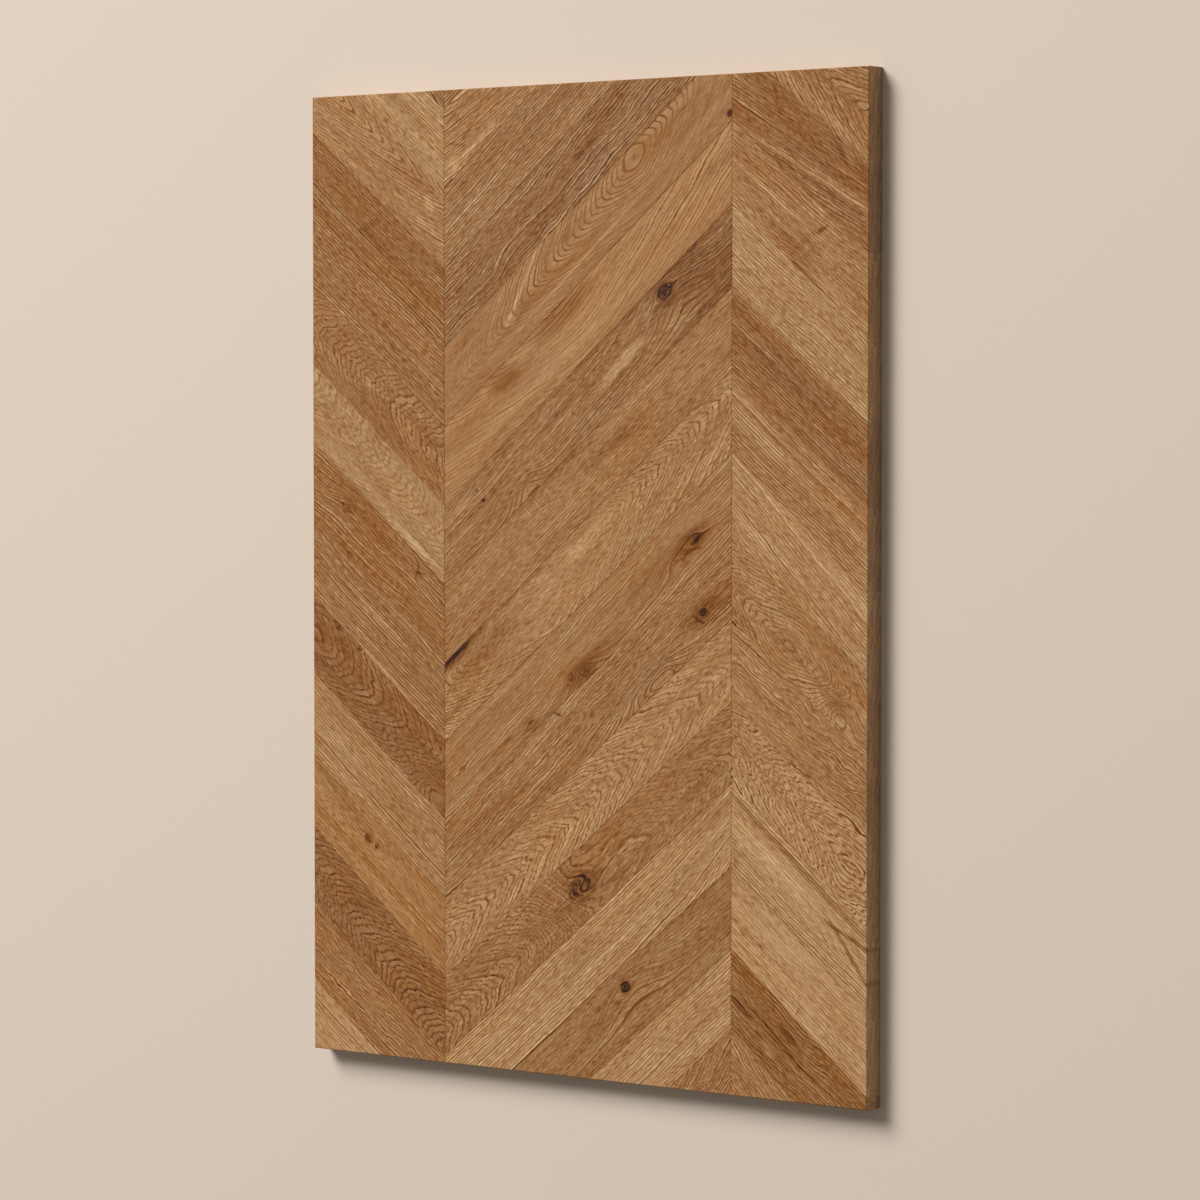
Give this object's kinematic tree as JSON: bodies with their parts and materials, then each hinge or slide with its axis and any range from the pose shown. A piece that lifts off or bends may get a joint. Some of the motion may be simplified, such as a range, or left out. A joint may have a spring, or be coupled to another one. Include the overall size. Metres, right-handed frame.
{
  "type": "chevron parquet panel",
  "caption": "Rectangular floor or wall panel of solid oak staves tongued and grooved together in a chevron pattern, with bevelled joints and a sawn outline.",
  "frame": {"origin": "middle of the panel's back, which is its lowest face as it lies", "axes": "+X across the bands to the right of the face, +Y along the seams to the top of the pattern, +Z out of the face"},
  "size_m": [0.7, 1, 0.023],
  "materials": {
    "left_stave_01": "oiled oak, satin",
    "left_stave_02": "oiled oak, satin",
    "left_stave_03": "oiled oak, satin",
    "left_stave_04": "oiled oak, satin",
    "left_stave_05": "oiled oak, satin",
    "left_stave_06": "oiled oak, satin",
    "left_stave_07": "oiled oak, satin",
    "left_stave_08": "oiled oak, satin",
    "left_stave_09": "oiled oak, satin",
    "left_stave_10": "oiled oak, satin",
    "left_stave_11": "oiled oak, satin",
    "left_stave_12": "oiled oak, satin",
    "left_stave_13": "oiled oak, satin",
    "left_stave_14": "oiled oak, satin",
    "left_stave_15": "oiled oak, satin",
    "centre_stave_01": "oiled oak, satin",
    "centre_stave_02": "oiled oak, satin",
    "centre_stave_03": "oiled oak, satin",
    "centre_stave_04": "oiled oak, satin",
    "centre_stave_05": "oiled oak, satin",
    "centre_stave_06": "oiled oak, satin",
    "centre_stave_07": "oiled oak, satin",
    "centre_stave_08": "oiled oak, satin",
    "centre_stave_09": "oiled oak, satin",
    "centre_stave_10": "oiled oak, satin",
    "centre_stave_11": "oiled oak, satin",
    "centre_stave_12": "oiled oak, satin",
    "centre_stave_13": "oiled oak, satin",
    "centre_stave_14": "oiled oak, satin",
    "centre_stave_15": "oiled oak, satin",
    "centre_stave_16": "oiled oak, satin",
    "centre_stave_17": "oiled oak, satin",
    "right_stave_01": "oiled oak, satin",
    "right_stave_02": "oiled oak, satin",
    "right_stave_03": "oiled oak, satin",
    "right_stave_04": "oiled oak, satin",
    "right_stave_05": "oiled oak, satin",
    "right_stave_06": "oiled oak, satin",
    "right_stave_07": "oiled oak, satin",
    "right_stave_08": "oiled oak, satin",
    "right_stave_09": "oiled oak, satin",
    "right_stave_10": "oiled oak, satin",
    "right_stave_11": "oiled oak, satin",
    "right_stave_12": "oiled oak, satin",
    "right_stave_13": "oiled oak, satin",
    "right_stave_14": "oiled oak, satin"
  },
  "bodies": {
    "root": {"left_stave_01": "left_stave_01", "left_stave_02": "left_stave_02", "left_stave_03": "left_stave_03", "left_stave_04": "left_stave_04", "left_stave_05": "left_stave_05", "left_stave_06": "left_stave_06", "left_stave_07": "left_stave_07", "left_stave_08": "left_stave_08", "left_stave_09": "left_stave_09", "left_stave_10": "left_stave_10", "left_stave_11": "left_stave_11", "left_stave_12": "left_stave_12", "left_stave_13": "left_stave_13", "left_stave_14": "left_stave_14", "left_stave_15": "left_stave_15", "centre_stave_01": "centre_stave_01", "centre_stave_02": "centre_stave_02", "centre_stave_03": "centre_stave_03", "centre_stave_04": "centre_stave_04", "centre_stave_05": "centre_stave_05", "centre_stave_06": "centre_stave_06", "centre_stave_07": "centre_stave_07", "centre_stave_08": "centre_stave_08", "centre_stave_09": "centre_stave_09", "centre_stave_10": "centre_stave_10", "centre_stave_11": "centre_stave_11", "centre_stave_12": "centre_stave_12", "centre_stave_13": "centre_stave_13", "centre_stave_14": "centre_stave_14", "centre_stave_15": "centre_stave_15", "centre_stave_16": "centre_stave_16", "centre_stave_17": "centre_stave_17", "right_stave_01": "right_stave_01", "right_stave_02": "right_stave_02", "right_stave_03": "right_stave_03", "right_stave_04": "right_stave_04", "right_stave_05": "right_stave_05", "right_stave_06": "right_stave_06", "right_stave_07": "right_stave_07", "right_stave_08": "right_stave_08", "right_stave_09": "right_stave_09", "right_stave_10": "right_stave_10", "right_stave_11": "right_stave_11", "right_stave_12": "right_stave_12", "right_stave_13": "right_stave_13", "right_stave_14": "right_stave_14"}
  },
  "joints": []
}
